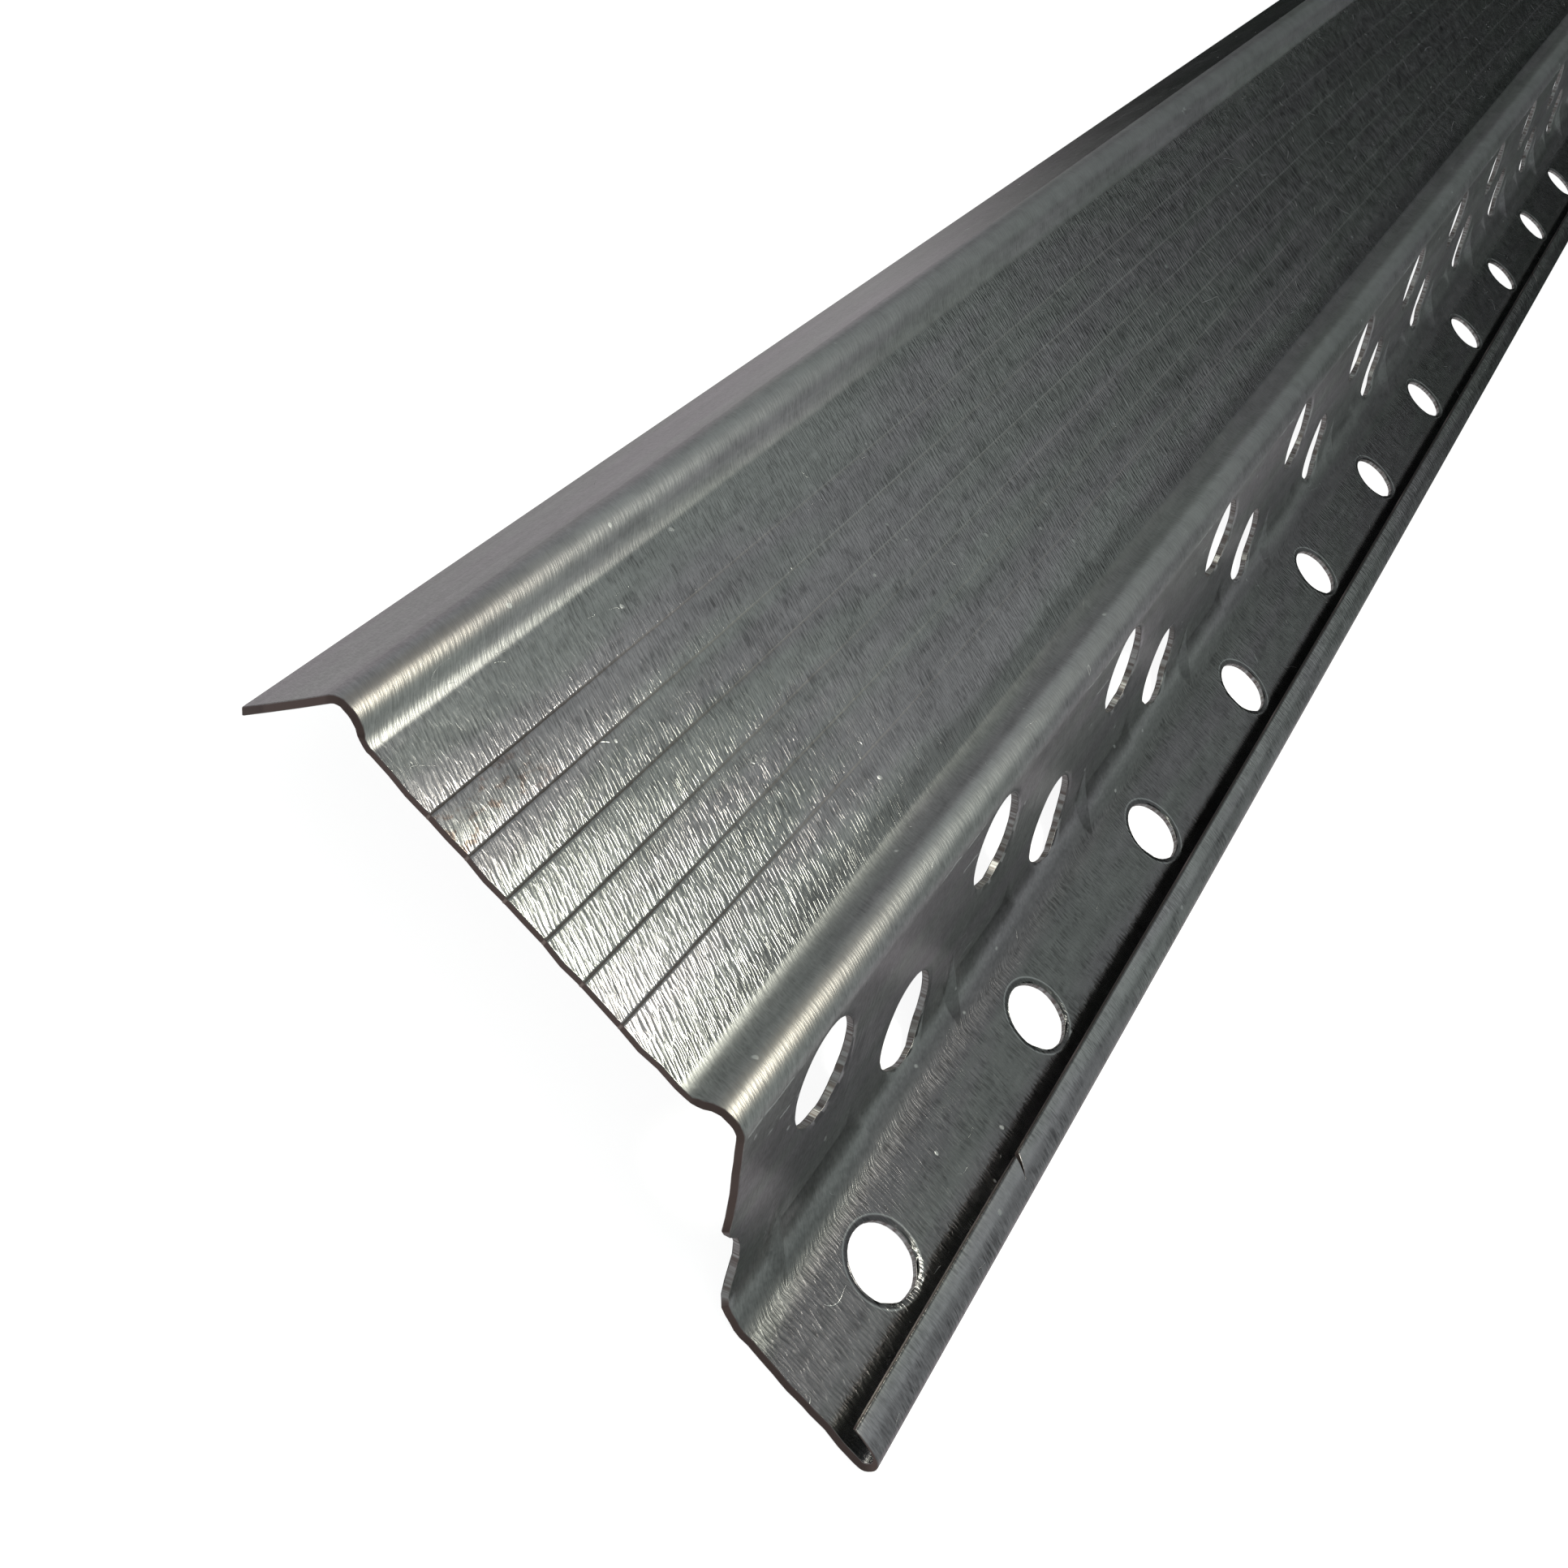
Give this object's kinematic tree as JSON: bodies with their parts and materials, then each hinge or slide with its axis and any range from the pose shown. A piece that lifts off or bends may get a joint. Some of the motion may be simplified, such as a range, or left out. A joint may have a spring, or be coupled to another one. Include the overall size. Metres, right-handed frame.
{
  "type": "resilient bar",
  "caption": "Roll-formed thin steel strip: a grooved board face between two beads, a short free lip, a sloped perforated web and a punched mounting flange with an open hem.",
  "frame": {"origin": "middle of the bar's box, at the level of the mounting flange's underside", "axes": "+X along the bar from its hand-cut end to its factory end, +Y across it from the hem to the free lip, +Z from the mounting flange towards the board face"},
  "size_m": [0.6, 0.06, 0.0145],
  "materials": {
    "galvanised_steel": "hot-dip galvanised sheet, finely rippled across the strip, dull mid-grey with bright worn patches"
  },
  "bodies": {
    "root": {"resilient_bar": "galvanised_steel"}
  },
  "joints": []
}
